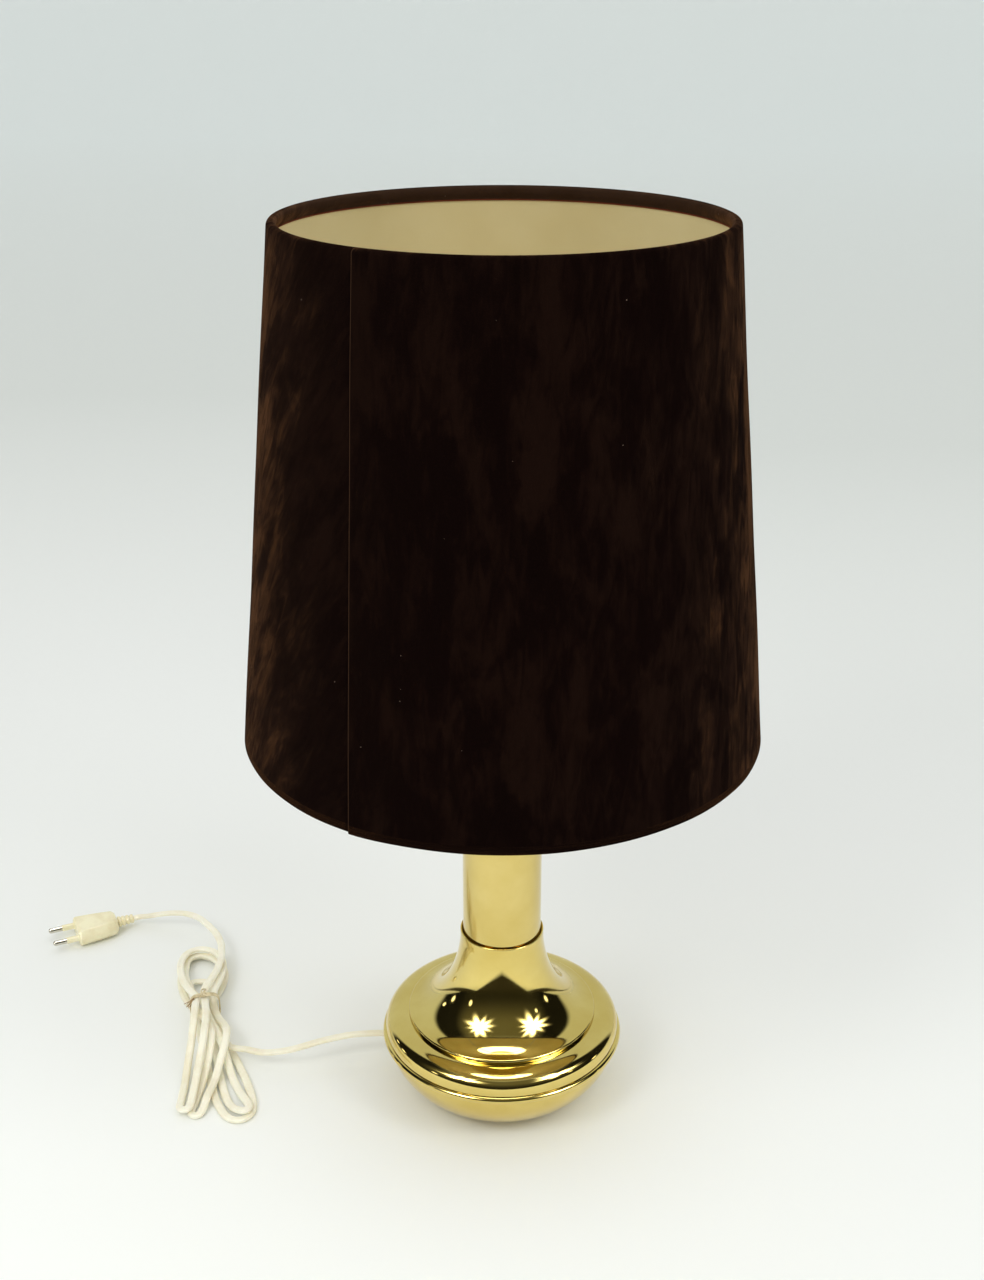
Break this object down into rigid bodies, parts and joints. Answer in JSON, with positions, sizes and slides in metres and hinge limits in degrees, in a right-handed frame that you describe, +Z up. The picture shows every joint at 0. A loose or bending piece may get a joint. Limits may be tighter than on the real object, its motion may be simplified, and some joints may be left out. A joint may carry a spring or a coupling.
{
  "type": "table lamp",
  "caption": "Table lamp with a spun brass base and column, a tapered velvet drum shade on a wire spider, a screw bulb, and a flat cord tied in a hank with a two-pin plug.",
  "frame": {"origin": "centre of the base on the table", "axes": "+Z up along the column; the viewer of the picture looks along +Y, with +X to the right, and the cord leaves towards -X"},
  "size_m": [0.5082, 0.3412, 0.572],
  "materials": {
    "brass": "polished and lacquered",
    "steel": "zinc plated",
    "nickel": "nickel plated",
    "iron": "raw casting",
    "felt": "pressed felt",
    "bakelite": "moulded",
    "porcelain": "unglazed",
    "glass": "frosted inside",
    "velvet": "crushed velvet",
    "lining": "satin sheet",
    "pvc": "moulded, slightly yellowed",
    "thread": "twisted"
  },
  "bodies": {
    "base": {"felt_pad": "felt", "lower_bowl": "brass", "bottom_washer": "steel", "bottom_nut": "steel", "ballast_weight": "iron", "ballast_nut": "steel", "threaded_rod": "steel", "shoulder_ring": "brass", "neck_bell": "brass", "neck_bridge": "steel", "column_tube": "brass", "column_cap": "brass", "cord_bush": "pvc", "holder_dome": "bakelite", "holder_core": "porcelain", "holder_skirt": "bakelite", "screw_shell": "brass", "centre_contact": "brass", "cord_lead": "pvc", "cord_hank": "pvc", "cord_tail": "pvc", "hank_tie": "thread", "plug_body": "pvc", "plug_strain_relief": "pvc", "pin_sleeve_1": "pvc", "pin_sleeve_2": "pvc", "plug_pin_1": "nickel", "plug_pin_2": "nickel"},
    "shade": {"shade_cover": "velvet", "shade_lining": "lining", "upper_wire_ring": "steel", "lower_wire_ring": "steel", "fitter_ring": "steel", "spider_arm_1": "steel", "spider_arm_2": "steel", "spider_arm_3": "steel"},
    "ring": {"shade_ring": "bakelite"},
    "bulb": {"bulb_tip": "nickel", "bulb_cap": "nickel", "bulb_glass": "glass"},
    "switch": {"switch_bar": "bakelite"}
  },
  "joints": [
    {"name": "shade_turn", "type": "hinge", "parent": "base", "child": "shade", "pos_m": [0, 0, 0.2841], "axis": [0, 0, 1], "continuous": true},
    {"name": "shade_ring_rise", "type": "slide", "parent": "base", "child": "ring", "axis": [0, 0, 1], "range_m": [0, 0.01]},
    {"name": "bulb_rise", "type": "slide", "parent": "base", "child": "bulb", "axis": [0, 0, 1], "range_m": [0, 0.026]},
    {"name": "switch_slide", "type": "slide", "parent": "base", "child": "switch", "axis": [1, 0, 0], "range_m": [0, 0.007]}
  ]
}
